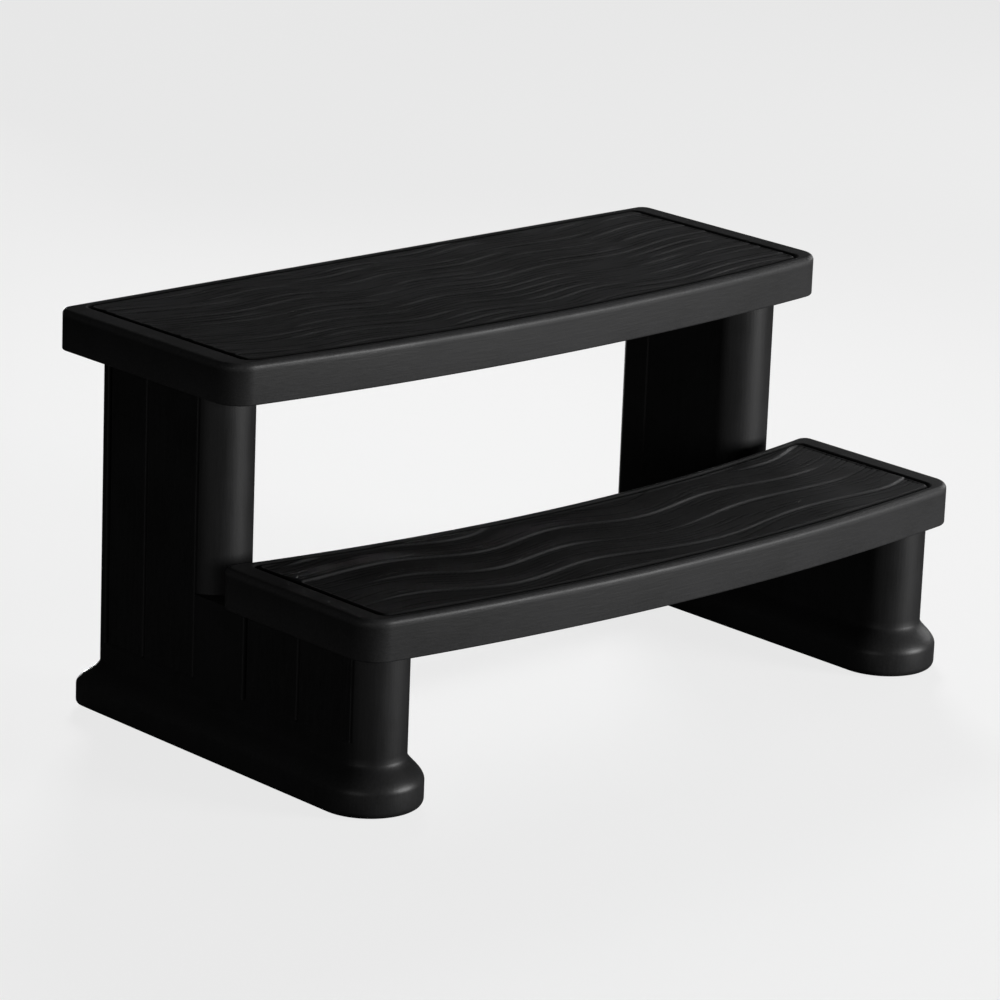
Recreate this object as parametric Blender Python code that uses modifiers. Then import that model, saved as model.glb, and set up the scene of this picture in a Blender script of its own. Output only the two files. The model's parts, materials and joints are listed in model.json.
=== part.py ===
"""Two-tier moulded spa steps: two ribbed tread trays on two hollow side panels.

Run with: blender --background --python part.py
Units are metres, +Z is up, +X is to the right of someone facing the steps, and the front faces -Y.
"""

import math

import bmesh
import bpy
from mathutils import Matrix, Vector

# Overall; a cutter reaches OVERSHOOT past the face that it opens
STEP_RISE = 0.190
TREAD_WIDTH = 0.760
OVERALL_DEPTH = 0.485
OVERSHOOT = 0.003

# Treads: places are distances from the rear edge of the upper tread to the end corners
TREAD_THICKNESS = 0.040
UPPER_FRONT = 0.258
UPPER_FRONT_BOW = 0.028
LOWER_REAR = 0.246
LOWER_REAR_BOW = 0.040
LOWER_FRONT = 0.454
LOWER_FRONT_BOW = 0.031
DECK = 0.005
SKIRT = 0.0045
DRAFT = 0.0004
FRONT_CORNER = 0.024
REAR_CORNER = 0.013
CORNER_SHARE = 1.25
TOP_EDGE = 0.005
LOWER_EDGE_SHARE = 0.3
TOP_EDGE_STEPS = 3
RIB = 0.003
RIB_LIFT = 0.004
RIB_BAYS = 6
RIB_ROWS = {"upper": 4, "lower": 3}
WELL_X = 0.268
BOW_STEPS = 18
CELL_STEPS = 2
CORNER_STEPS = 5

# Side panels: places are distances from the rear edge of the upper tread
PANEL_X = 0.337
PANEL_HALF = 0.035
PANEL_REAR = 0.056
TALL_COLUMN = 0.187
LOW_COLUMN = 0.410
PANEL_CORNER = 0.010
PANEL_CORNER_STEPS = 3
PANEL_LIFT = 0.002
COLUMN_STEPS = 12
FLARE = 0.016
SHOULDER_TOP = 0.048
SPIGOT_INSET = 0.005
SPIGOT_BEHIND_SKIRT = 0.0205
WALL_END = 0.008
CAVITY_HALF = 0.026
WEB = 0.003
TOP_PLATE = 0.005

# Planked fields of the side panels
FIELD_BOTTOM = 0.066
FIELD_DEPTH = 0.002
GROOVE_WIDTH = 0.004
GROOVE_DEPTH = 0.0045
GROOVE_OVERLAP = 0.0005
PLANKS_BETWEEN_COLUMNS = 3
FIELD_BEFORE_COLUMN = 0.0125
REAR_BAND = 0.0145
INNER_FIELD_DEPTH = 0.0015
INNER_REAR_BAND = 0.0385
INNER_FIELD_DROP = 0.012

# Ledges, bosses and screws
GAP = 0.0003
LEDGE_DROP = 0.034
LEDGE_THICKNESS = 0.005
LEDGE_REACH = 0.026
LEDGE_WIDTH = 0.036
LEDGE_CLEAR_OF_CAVITY = 0.002
LEDGES_BEHIND_TALL_COLUMN = (0.030, 0.095)
LEDGES_BEHIND_LOW_COLUMN = (0.028, 0.093)
SCREW_X = 0.288
BOSS_RADIUS = 0.0065
BOSS_HOLE_DEPTH = 0.016
HOLE_RADIUS = 0.0026
SHANK_RADIUS = 0.0022
SHANK_LENGTH = 0.018
SHANK_TAPER = 0.004
TIP_SHARE = 0.4
HEAD_RADIUS = 0.0045
HEAD_HEIGHT = 0.0028
HEAD_PROFILE = ((1.0, 0.0), (1.0, 0.35), (0.8, 0.85), (0.5, 1.0), (0.0, 1.0))
SLOT_WIDTH = 0.001
SLOT_LENGTH = 0.005
SLOT_DEPTH = 0.0014
ROUND_STEPS = 12

# Rear braces
BRACE_HEIGHT = 0.046
BRACE_DEPTH = 0.024
BRACE_WALL = 0.0035
BRACE_END = 0.005
BRACE_BAYS = 6
BRACE_EDGE = 0.0015
BRACE_SCREW_OFFSET = 0.012
LOWER_BRACE_Z = 0.0735
UPPER_BRACE_DROP = 0.0645

# Foot pads
PAD_LENGTH = 0.045
PAD_HEIGHT = 0.014
PAD_EDGE = 0.0015
PAD_ROOM = 0.0095
PAD_BEHIND_COLUMN = 0.024
PAD_BEFORE_REAR = 0.025

# Places worked out from the sizes above
HEIGHT = 2 * STEP_RISE
REAR_Y = OVERALL_DEPTH / 2
HALF_WIDTH = TREAD_WIDTH / 2
TREAD_TOPS = {"upper": HEIGHT, "lower": STEP_RISE}
PANEL_REAR_Y = REAR_Y - PANEL_REAR
TALL_Y = REAR_Y - TALL_COLUMN
LOW_Y = REAR_Y - LOW_COLUMN
SPIGOT_REAR_Y = REAR_Y - LOWER_REAR - SPIGOT_BEHIND_SKIRT
LOW_TOP = STEP_RISE - TREAD_THICKNESS - GAP
SPIGOT_TOP = STEP_RISE - DECK - GAP
TALL_TOP = HEIGHT - DECK - GAP
PLANK_PITCH = (TALL_Y - LOW_Y) / PLANKS_BETWEEN_COLUMNS
LEDGE_YS = {
    "upper": [TALL_Y + behind for behind in LEDGES_BEHIND_TALL_COLUMN],
    "lower": [LOW_Y + behind for behind in LEDGES_BEHIND_LOW_COLUMN],
}
BRACE_Y = PANEL_REAR_Y - INNER_REAR_BAND / 2
BRACE_ZS = {"upper": HEIGHT - UPPER_BRACE_DROP, "lower": LOWER_BRACE_Z}
BRACE_REACH = PANEL_X - PANEL_HALF - GAP

# Height and outward offset of the base from the floor up: rolled toe, wall, sloped shoulder
BASE_PROFILE = (
    (PANEL_LIFT, FLARE * 0.72),
    (0.0035, FLARE * 0.88),
    (0.008, FLARE),
    (0.024, FLARE),
    (0.029, FLARE * 0.94),
    (0.034, FLARE * 0.74),
    (0.040, FLARE * 0.34),
    (0.044, FLARE * 0.10),
    (SHOULDER_TOP, 0.0),
)
BASE_CAVITY_PROFILE = ((-0.010, PAD_ROOM), (0.020, PAD_ROOM), (0.042, -0.010), (0.050, -0.010))
CELL_BOTTOM = 0.047


def clear_scene():
    for obj in list(bpy.data.objects):
        bpy.data.objects.remove(obj, do_unlink=True)


def new_collection(name):
    collection = bpy.data.collections.new(name)
    bpy.context.scene.collection.children.link(collection)
    return collection


def make_material(name, colour, roughness, metallic=0.0):
    material = bpy.data.materials.new(name)
    material.use_nodes = True
    shader = material.node_tree.nodes["Principled BSDF"]
    shader.inputs["Base Color"].default_value = (*colour, 1.0)
    shader.inputs["Roughness"].default_value = roughness
    shader.inputs["Metallic"].default_value = metallic
    return material


def mesh_object(name, data, collection):
    obj = bpy.data.objects.new(name, data)
    collection.objects.link(obj)
    return obj


def baked_mesh(obj):
    """The object's mesh as its modifiers leave it."""
    bpy.context.view_layer.update()
    graph = bpy.context.evaluated_depsgraph_get()
    return bpy.data.meshes.new_from_object(obj.evaluated_get(graph))


def bake(obj):
    mesh = baked_mesh(obj)
    obj.modifiers.clear()
    obj.data = mesh


def finish(obj, material, parent):
    """Gives a piece its material, its shading and its place in the assembly."""
    bake(obj)
    obj.data.name = obj.name
    obj.data.materials.clear()
    obj.data.materials.append(material)
    obj.data.shade_smooth()
    obj.data.set_sharp_from_angle(angle=math.radians(30))
    obj.parent = parent


def cut(obj, cutter, operation="DIFFERENCE"):
    modifier = obj.modifiers.new(cutter.name, "BOOLEAN")
    modifier.operation = operation
    modifier.solver = "EXACT"
    modifier.object = cutter


def round_edges(obj, width, steps, limit="ANGLE"):
    modifier = obj.modifiers.new("rounded_edges", "BEVEL")
    modifier.width = width
    modifier.segments = steps
    modifier.limit_method = limit
    modifier.use_clamp_overlap = True


def arc(centre, radius, start, end, steps):
    """Points on an arc, angles in degrees, both ends included."""
    points = []
    for step in range(steps + 1):
        angle = math.radians(start + (end - start) * step / steps)
        points.append((centre[0] + radius * math.cos(angle), centre[1] + radius * math.sin(angle)))
    return points


def circle(centre, radius):
    return arc(centre, radius, 0, 360, ROUND_STEPS)[:-1]


def fillet(corner, incoming, outgoing, radius, steps):
    """An arc that rounds the left turn at a corner between two directions."""
    incoming = Vector(incoming).normalized()
    outgoing = Vector(outgoing).normalized()
    turn = incoming.angle(outgoing)
    start = Vector(corner) - incoming * radius * math.tan(turn / 2)
    centre = start + Vector((-incoming.y, incoming.x)) * radius
    first = math.degrees(math.atan2(start.y - centre.y, start.x - centre.x))
    return arc(centre, radius, first, first + math.degrees(turn), steps)


def slab(name, outlines, low, high, collection):
    """A flat plate with these outlines; an outline inside another one is a hole."""
    curve = bpy.data.curves.new(name, "CURVE")
    curve.dimensions = "2D"
    curve.fill_mode = "BOTH"
    curve.extrude = (high - low) / 2
    for outline in outlines:
        spline = curve.splines.new("POLY")
        spline.points.add(len(outline) - 1)
        for point, (x, y) in zip(spline.points, outline):
            point.co = (x, y, 0.0, 1.0)
        spline.use_cyclic_u = True
    source = mesh_object(name, curve, collection)
    mesh = baked_mesh(source)
    bpy.data.objects.remove(source, do_unlink=True)
    mesh.transform(Matrix.Translation((0, 0, (low + high) / 2)))
    model = bmesh.new()
    model.from_mesh(mesh)
    bmesh.ops.remove_doubles(model, verts=model.verts, dist=1e-6)
    flat = math.radians(0.05)
    bmesh.ops.dissolve_limit(model, angle_limit=flat, verts=model.verts, edges=model.edges)
    bmesh.ops.recalc_face_normals(model, faces=model.faces)
    model.to_mesh(mesh)
    model.free()
    return mesh_object(name, mesh, collection)


def boxes(name, corners, collection):
    """Separate boxes in one mesh, each given by its low and high corners."""
    model = bmesh.new()
    for low, high in corners:
        middle = (Vector(low) + Vector(high)) / 2
        size = Vector(high) - Vector(low)
        place = Matrix.Translation(middle) @ Matrix.Diagonal((*size, 1.0))
        bmesh.ops.create_cube(model, size=1.0, matrix=place)
    mesh = bpy.data.meshes.new(name)
    model.to_mesh(mesh)
    model.free()
    return mesh_object(name, mesh, collection)


def rods(name, ends, radius, collection):
    """Separate round rods in one mesh, each given by its two end points."""
    model = bmesh.new()
    for start, end in ends:
        span = Vector(end) - Vector(start)
        turn = span.to_track_quat("Z", "Y").to_matrix().to_4x4()
        place = Matrix.Translation((Vector(start) + Vector(end)) / 2) @ turn
        bmesh.ops.create_cone(
            model,
            cap_ends=True,
            segments=ROUND_STEPS,
            radius1=radius,
            radius2=radius,
            depth=span.length,
            matrix=place,
        )
    mesh = bpy.data.meshes.new(name)
    model.to_mesh(mesh)
    model.free()
    return mesh_object(name, mesh, collection)


class TreadPlan:
    """Plan of one tread. Its front and rear edges are shallow parabolas bowed to the front."""

    def __init__(self, rear, rear_bow, front, front_bow):
        self.rear_y = REAR_Y - rear
        self.rear_bow = rear_bow
        self.front_y = REAR_Y - front
        self.front_bow = front_bow

    def front(self, x, inset=0.0):
        return self.front_y - self.front_bow * (1 - (x / HALF_WIDTH) ** 2) + inset

    def rear(self, x, inset=0.0):
        return self.rear_y - self.rear_bow * (1 - (x / HALF_WIDTH) ** 2) - inset

    def between(self, share):
        """The curve that lies this share of the way from the front edge to the rear edge."""
        return lambda x, inset: self.front(x) * (1 - share) + self.rear(x) * share + inset

    def along(self, edge, start, end, inset, steps):
        xs = [start + (end - start) * step / steps for step in range(steps + 1)]
        return [(x, edge(x, inset)) for x in xs]

    def outline(self, inset=0.0):
        """The whole plan, anticlockwise from the front left corner."""
        half = HALF_WIDTH - inset
        front_radius = FRONT_CORNER - inset
        rear_radius = REAR_CORNER - inset
        front_reach = half - front_radius * CORNER_SHARE
        rear_reach = half - rear_radius * CORNER_SHARE
        front_slope = 2 * self.front_bow / HALF_WIDTH
        rear_slope = 2 * self.rear_bow / HALF_WIDTH
        front_y = self.front(half, inset)
        rear_y = self.rear(half, inset)
        points = fillet((-half, front_y), (0, -1), (1, -front_slope), front_radius, CORNER_STEPS)
        points += self.along(self.front, -front_reach, front_reach, inset, BOW_STEPS)
        points += fillet((half, front_y), (1, front_slope), (0, 1), front_radius, CORNER_STEPS)
        points += fillet((half, rear_y), (0, 1), (-1, -rear_slope), rear_radius, CORNER_STEPS)
        if self.rear_bow:
            points += self.along(self.rear, rear_reach, -rear_reach, inset, BOW_STEPS)
        points += fillet((-half, rear_y), (-1, rear_slope), (0, -1), rear_radius, CORNER_STEPS)
        return points

    def middle(self, inset):
        """The part between the two wells."""
        reach = WELL_X + RIB / 2
        points = self.along(self.front, -reach, reach, inset, BOW_STEPS)
        return points + self.along(self.rear, reach, -reach, inset, BOW_STEPS)

    def wells(self, inset):
        """The two end pockets that take the tops of the side panels."""
        right = [point for point in self.outline(inset) if point[0] > WELL_X]
        right.append((WELL_X, self.rear(WELL_X, inset)))
        right.append((WELL_X, self.front(WELL_X, inset)))
        left = [(-x, y) for x, y in reversed(right)]
        return [right, left]

    def cells(self, rows, inset):
        """The pockets between the ribs of the middle part."""
        outlines = []
        span = 2 * (WELL_X - RIB)
        pitch = span / RIB_BAYS
        for bay in range(RIB_BAYS):
            left = bay * pitch - span / 2 + RIB / 2
            right = left + pitch - RIB
            for row in range(rows):
                near = inset if row == 0 else RIB / 2
                far = inset if row == rows - 1 else RIB / 2
                front = self.between(row / rows)
                rear = self.between((row + 1) / rows)
                outline = self.along(front, left, right, near, CELL_STEPS)
                outlines.append(outline + self.along(rear, right, left, -far, CELL_STEPS))
        return outlines


TREAD_PLANS = {
    "upper": TreadPlan(0.0, 0.0, UPPER_FRONT, UPPER_FRONT_BOW),
    "lower": TreadPlan(LOWER_REAR, LOWER_REAR_BOW, LOWER_FRONT, LOWER_FRONT_BOW),
}


def weigh_rims(mesh, low, high):
    """Marks the top rim for the full rounding and the bottom rim for a smaller one."""
    weights = mesh.attributes.new("bevel_weight_edge", "FLOAT", "EDGE")
    for edge in mesh.edges:
        heights = [mesh.vertices[index].co.z for index in edge.vertices]
        if min(heights) > high - GAP:
            weights.data[edge.index].value = 1.0
        elif max(heights) < low + GAP:
            weights.data[edge.index].value = LOWER_EDGE_SHARE


def make_tread(kind, parts, cutters):
    plan = TREAD_PLANS[kind]
    top = TREAD_TOPS[kind]
    base = top - TREAD_THICKNESS
    deck_under = top - DECK
    boss_base = top - LEDGE_DROP + LEDGE_THICKNESS + GAP
    boss_places = [(side * SCREW_X, y) for side in (1, -1) for y in LEDGE_YS[kind]]
    tread = slab(f"{kind}_tread", [plan.outline()], base, top, parts)
    weigh_rims(tread.data, base, top)
    round_edges(tread, TOP_EDGE, TOP_EDGE_STEPS, "WEIGHT")

    wells = plan.wells(SKIRT)
    deep_wells = plan.wells(SKIRT + DRAFT) + [circle(place, BOSS_RADIUS) for place in boss_places]
    middle = [plan.middle(SKIRT + DRAFT)]
    cells = plan.cells(RIB_ROWS[kind], SKIRT + 2 * DRAFT)
    hole_base = boss_base - OVERSHOOT
    hole_top = boss_base + BOSS_HOLE_DEPTH
    holes = [((x, y, hole_base), (x, y, hole_top)) for x, y in boss_places]
    cut(tread, slab(f"{kind}_wells", wells, base - OVERSHOOT, boss_base, cutters))
    cut(tread, slab(f"{kind}_rib_relief", middle, base - 2 * OVERSHOOT, base + RIB_LIFT, cutters))
    cut(tread, slab(f"{kind}_deep_wells", deep_wells, boss_base - OVERSHOOT, deck_under, cutters))
    cut(tread, slab(f"{kind}_rib_cells", cells, base + RIB_LIFT / 2, deck_under, cutters))
    cut(tread, rods(f"{kind}_boss_holes", holes, HOLE_RADIUS, cutters))
    return tread


def panel_outline(offset):
    """Plan of a side panel about its own middle, anticlockwise from the low column's left side."""
    half = PANEL_HALF + offset
    rear = PANEL_REAR_Y + offset
    corner_x = half - PANEL_CORNER
    corner_y = rear - PANEL_CORNER
    points = arc((0, LOW_Y), half, 180, 360, COLUMN_STEPS)
    points.append((half, TALL_Y))
    points += arc((corner_x, corner_y), PANEL_CORNER, 0, 90, PANEL_CORNER_STEPS)
    points += arc((-corner_x, corner_y), PANEL_CORNER, 90, 180, PANEL_CORNER_STEPS)
    points.append((-half, TALL_Y))
    return points


def add_rings(model, profile):
    """Skins the panel's plan, offset as the profile says at each height. Returns the top ring."""
    rings = []
    for height, offset in profile:
        rings.append([model.verts.new((x, y, height)) for x, y in panel_outline(offset)])
    for below, above in zip(rings, rings[1:]):
        for index in range(len(below)):
            after = (index + 1) % len(below)
            model.faces.new((below[index], below[after], above[after], above[index]))
    model.faces.new(reversed(rings[0]))
    return rings[-1]


def panel_body(name, collection):
    """The stepped body: the base and low section are skinned, and the tall section is extruded."""
    model = bmesh.new()
    ring = add_rings(model, BASE_PROFILE + ((LOW_TOP, 0.0),))
    right = COLUMN_STEPS + 1
    left = len(ring) - 1
    column = arc((0, TALL_Y), PANEL_HALF, 0, -180, COLUMN_STEPS)[1:-1]
    front = [model.verts.new((x, y, LOW_TOP)) for x, y in column]
    model.faces.new([ring[left]] + ring[: right + 1] + front)
    tall = model.faces.new(ring[right:] + front[::-1])
    raised = bmesh.ops.extrude_face_region(model, geom=[tall])
    bmesh.ops.delete(model, geom=[tall], context="FACES_ONLY")
    moved = [item for item in raised["geom"] if isinstance(item, bmesh.types.BMVert)]
    bmesh.ops.translate(model, verts=moved, vec=(0, 0, TALL_TOP - LOW_TOP))
    bmesh.ops.recalc_face_normals(model, faces=model.faces)
    mesh = bpy.data.meshes.new(name)
    model.to_mesh(mesh)
    model.free()
    return mesh_object(name, mesh, collection)


def base_cavity(name, collection):
    model = bmesh.new()
    model.faces.new(add_rings(model, BASE_CAVITY_PROFILE))
    bmesh.ops.recalc_face_normals(model, faces=model.faces)
    mesh = bpy.data.meshes.new(name)
    model.to_mesh(mesh)
    model.free()
    return mesh_object(name, mesh, collection)


def block_outline(half, front, rear, round_front):
    """A rectangle in plan, with a half-round front if asked."""
    if round_front:
        return arc((0, front + half), half, 180, 360, COLUMN_STEPS) + [(half, rear), (-half, rear)]
    return [(-half, front), (half, front), (half, rear), (-half, rear)]


def cavity_cells():
    """Front, rear, top and front shape of each hollow between the panel's webs."""
    rear = PANEL_REAR_Y - WALL_END
    rear_web = TALL_Y + LEDGES_BEHIND_TALL_COLUMN[1] - LEDGE_WIDTH / 2 - WEB
    column_front = TALL_Y - CAVITY_HALF
    spigot_rear = SPIGOT_REAR_Y - SPIGOT_INSET
    return (
        (rear_web + WEB, rear, TALL_TOP - TOP_PLATE, False),
        (column_front, rear_web, TALL_TOP - TOP_PLATE, True),
        (SPIGOT_REAR_Y, column_front - WEB, LOW_TOP - TOP_PLATE, False),
        (LOW_Y - CAVITY_HALF, spigot_rear, SPIGOT_TOP - TOP_PLATE, True),
    )


def field_ranges(rear_band):
    """Front and rear of the low field and of the tall field."""
    first = LOW_Y - FIELD_BEFORE_COLUMN
    last = TALL_Y - FIELD_BEFORE_COLUMN
    return ((first, last - PLANK_PITCH), (last, PANEL_REAR_Y - rear_band))


def cut_fields(panel, cutters):
    """Recesses the outer fields, with a groove at each plank joint, and the inner fields."""
    outside = PANEL_HALF + FLARE
    tops = (LOW_TOP + GROOVE_WIDTH, HEIGHT)
    outer = []
    grooves = []
    for (front, rear), top in zip(field_ranges(REAR_BAND), tops):
        outer.append(((PANEL_HALF - FIELD_DEPTH, front, FIELD_BOTTOM), (outside, rear, top)))
        starts = [front - GROOVE_OVERLAP, rear + GROOVE_OVERLAP - GROOVE_WIDTH]
        joint = front + PLANK_PITCH
        while joint < rear - GROOVE_WIDTH:
            starts.append(joint - GROOVE_WIDTH / 2)
            joint += PLANK_PITCH
        for start in starts:
            low = (PANEL_HALF - GROOVE_DEPTH, start, FIELD_BOTTOM + GROOVE_OVERLAP)
            grooves.append((low, (outside, start + GROOVE_WIDTH, top + GROOVE_OVERLAP)))
    inner = []
    inner_tops = (LOW_TOP - INNER_FIELD_DROP, HEIGHT - TREAD_THICKNESS - INNER_FIELD_DROP)
    for (front, rear), top in zip(field_ranges(INNER_REAR_BAND), inner_tops):
        inner.append(((-outside, front, FIELD_BOTTOM), (INNER_FIELD_DEPTH - PANEL_HALF, rear, top)))
    cut(panel, boxes("outer_fields", outer, cutters))
    cut(panel, boxes("plank_grooves", grooves, cutters))
    cut(panel, boxes("inner_fields", inner, cutters))


def panel_ledges(cutters):
    root = -CAVITY_HALF - LEDGE_CLEAR_OF_CAVITY
    corners = []
    for kind, top in TREAD_TOPS.items():
        bottom = top - LEDGE_DROP
        for y in LEDGE_YS[kind]:
            low = (-PANEL_HALF - LEDGE_REACH, y - LEDGE_WIDTH / 2, bottom)
            high = (root, y + LEDGE_WIDTH / 2, bottom + LEDGE_THICKNESS)
            corners.append((low, high))
    return boxes("ledges", corners, cutters)


def panel_holes(cutters):
    """Upright holes through the ledges, and level holes through the inner wall for the braces."""
    ends = []
    ledge_x = SCREW_X - PANEL_X
    for kind, top in TREAD_TOPS.items():
        bottom = top - LEDGE_DROP
        for y in LEDGE_YS[kind]:
            low = bottom - OVERSHOOT
            high = bottom + LEDGE_THICKNESS + OVERSHOOT
            ends.append(((ledge_x, y, low), (ledge_x, y, high)))
    for middle in BRACE_ZS.values():
        for z in (middle - BRACE_SCREW_OFFSET, middle + BRACE_SCREW_OFFSET):
            start = (-PANEL_HALF - OVERSHOOT, BRACE_Y, z)
            ends.append((start, (OVERSHOOT - CAVITY_HALF, BRACE_Y, z)))
    return rods("panel_holes", ends, HOLE_RADIUS, cutters)


def make_side_panels(parts, cutters):
    """The right panel, and the left one as its mirror image."""
    right = panel_body("right_side_panel", parts)
    spigot = block_outline(
        PANEL_HALF - SPIGOT_INSET, LOW_Y - PANEL_HALF + SPIGOT_INSET, SPIGOT_REAR_Y, True
    )
    cut(right, slab("spigot", [spigot], LOW_TOP - SPIGOT_INSET, SPIGOT_TOP, cutters), "UNION")
    cut(right, panel_ledges(cutters), "UNION")
    cut_fields(right, cutters)
    cut(right, base_cavity("base_cavity", cutters))
    for number, (front, rear, top, round_front) in enumerate(cavity_cells(), start=1):
        outline = block_outline(CAVITY_HALF, front, rear, round_front)
        cut(right, slab(f"cavity_{number}", [outline], CELL_BOTTOM, top, cutters))
    cut(right, panel_holes(cutters))
    mirrored = baked_mesh(right)
    mirrored.transform(Matrix.Scale(-1, 4, (1, 0, 0)))
    mirrored.flip_normals()
    left = mesh_object("left_side_panel", mirrored, parts)
    bake(right)
    right.location.x = PANEL_X
    left.location.x = -PANEL_X
    return left, right


def make_brace(kind, parts, cutters):
    z = BRACE_ZS[kind]
    half = BRACE_HEIGHT / 2
    front = BRACE_Y - BRACE_DEPTH / 2
    rear = BRACE_Y + BRACE_DEPTH / 2
    body = ((-BRACE_REACH, front, z - half), (BRACE_REACH, rear, z + half))
    brace = boxes(f"rear_brace_{kind}", [body], parts)
    round_edges(brace, BRACE_EDGE, 2)
    inner = BRACE_REACH - BRACE_END
    pitch = (2 * inner + RIB) / BRACE_BAYS
    pockets = []
    for bay in range(BRACE_BAYS):
        left = -inner + bay * pitch
        low = (left, front + BRACE_WALL, z - half + BRACE_WALL)
        high = (left + pitch - RIB, rear + OVERSHOOT, z + half - BRACE_WALL)
        pockets.append((low, high))
    cut(brace, boxes(f"{kind}_brace_pockets", pockets, cutters))
    ends = []
    for side in (-1, 1):
        for height in (z - BRACE_SCREW_OFFSET, z + BRACE_SCREW_OFFSET):
            start = (side * (inner - OVERSHOOT), BRACE_Y, height)
            ends.append((start, (side * (BRACE_REACH + OVERSHOOT), BRACE_Y, height)))
    cut(brace, rods(f"{kind}_brace_holes", ends, HOLE_RADIUS, cutters))
    return brace


def screw_mesh(cutters):
    """A pan-head screw that points up, with the underside of its head at the origin."""
    profile = (
        (0.0, SHANK_LENGTH),
        (SHANK_RADIUS * TIP_SHARE, SHANK_LENGTH),
        (SHANK_RADIUS, SHANK_LENGTH - SHANK_TAPER),
        (SHANK_RADIUS, 0.0),
        *((HEAD_RADIUS * wide, -HEAD_HEIGHT * deep) for wide, deep in HEAD_PROFILE),
    )
    mesh = bpy.data.meshes.new("screw_profile")
    edges = [(index, index + 1) for index in range(len(profile) - 1)]
    mesh.from_pydata([(x, 0.0, z) for x, z in profile], edges, [])
    screw = mesh_object("screw_blank", mesh, cutters)
    turned = screw.modifiers.new("turned", "SCREW")
    turned.steps = ROUND_STEPS
    turned.render_steps = ROUND_STEPS
    turned.use_merge_vertices = True
    turned.merge_threshold = 1e-5
    reach = SLOT_LENGTH / 2
    width = SLOT_WIDTH / 2
    low = -HEAD_HEIGHT - SLOT_DEPTH
    high = SLOT_DEPTH - HEAD_HEIGHT
    cut(screw, boxes("slot_x", [((-reach, -width, low), (reach, width, high))], cutters))
    cut(screw, boxes("slot_y", [((-width, -reach, low), (width, reach, high))], cutters))
    return baked_mesh(screw)


def make_screws(parts, cutters):
    mesh = screw_mesh(cutters)
    screws = []
    for kind, top in TREAD_TOPS.items():
        places = [(side * SCREW_X, y) for side in (-1, 1) for y in LEDGE_YS[kind]]
        for number, (x, y) in enumerate(places, start=1):
            screw = mesh_object(f"{kind}_tread_screw_{number}", mesh.copy(), parts)
            screw.location = (x, y, top - LEDGE_DROP - GAP)
            screws.append(screw)
    seat = BRACE_REACH - BRACE_END - GAP
    for kind, middle in BRACE_ZS.items():
        heights = (middle - BRACE_SCREW_OFFSET, middle + BRACE_SCREW_OFFSET)
        places = [(side, z) for side in (-1, 1) for z in heights]
        for number, (side, z) in enumerate(places, start=1):
            screw = mesh_object(f"{kind}_brace_screw_{number}", mesh.copy(), parts)
            screw.location = (side * seat, BRACE_Y, z)
            screw.rotation_euler.y = side * math.pi / 2
            screws.append(screw)
    return screws


def make_pads(parts):
    half = PANEL_HALF + PAD_ROOM - GAP
    middle_y = (LOW_Y + PANEL_REAR_Y) / 2
    ys = (LOW_Y + PAD_BEHIND_COLUMN, middle_y, PANEL_REAR_Y - PAD_BEFORE_REAR)
    corner = Vector((half, PAD_LENGTH / 2, PAD_HEIGHT / 2))
    pads = []
    for side_name, side in (("left", -1), ("right", 1)):
        for number, y in enumerate(ys, start=1):
            pad = boxes(f"{side_name}_foot_pad_{number}", [(-corner, corner)], parts)
            pad.location = (side * PANEL_X, y, PAD_HEIGHT / 2)
            round_edges(pad, PAD_EDGE, 2)
            pads.append(pad)
    return pads


def main():
    clear_scene()
    parts = new_collection("spa_steps")
    cutters = new_collection("cutters")
    cutters.hide_render = True
    plastic = make_material("satin_black_plastic", (0.021, 0.021, 0.022), 0.46)
    brace_plastic = make_material("matt_black_plastic", (0.016, 0.016, 0.017), 0.6)
    steel = make_material("zinc_steel", (0.62, 0.62, 0.60), 0.32, 1.0)
    rubber = make_material("black_rubber", (0.012, 0.012, 0.012), 0.85)
    assembly = bpy.data.objects.new("spa_steps", None)
    parts.objects.link(assembly)

    pieces = [(make_tread(kind, parts, cutters), plastic) for kind in ("upper", "lower")]
    pieces += [(panel, plastic) for panel in make_side_panels(parts, cutters)]
    pieces += [(make_brace(kind, parts, cutters), brace_plastic) for kind in ("upper", "lower")]
    pieces += [(screw, steel) for screw in make_screws(parts, cutters)]
    pieces += [(pad, rubber) for pad in make_pads(parts)]
    for piece, material in pieces:
        finish(piece, material, assembly)
    for cutter in list(cutters.objects):
        bpy.data.objects.remove(cutter, do_unlink=True)
    bpy.data.collections.remove(cutters)


main()
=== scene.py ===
"""Looks of the moulded two-tier spa steps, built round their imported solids.

Units are metres, +Z is up, +X is to the right of someone facing the steps, and the front faces -Y.
"""

import json
import math
from dataclasses import dataclass

import bmesh
import bpy
from mathutils import Matrix, Vector, noise


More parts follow.
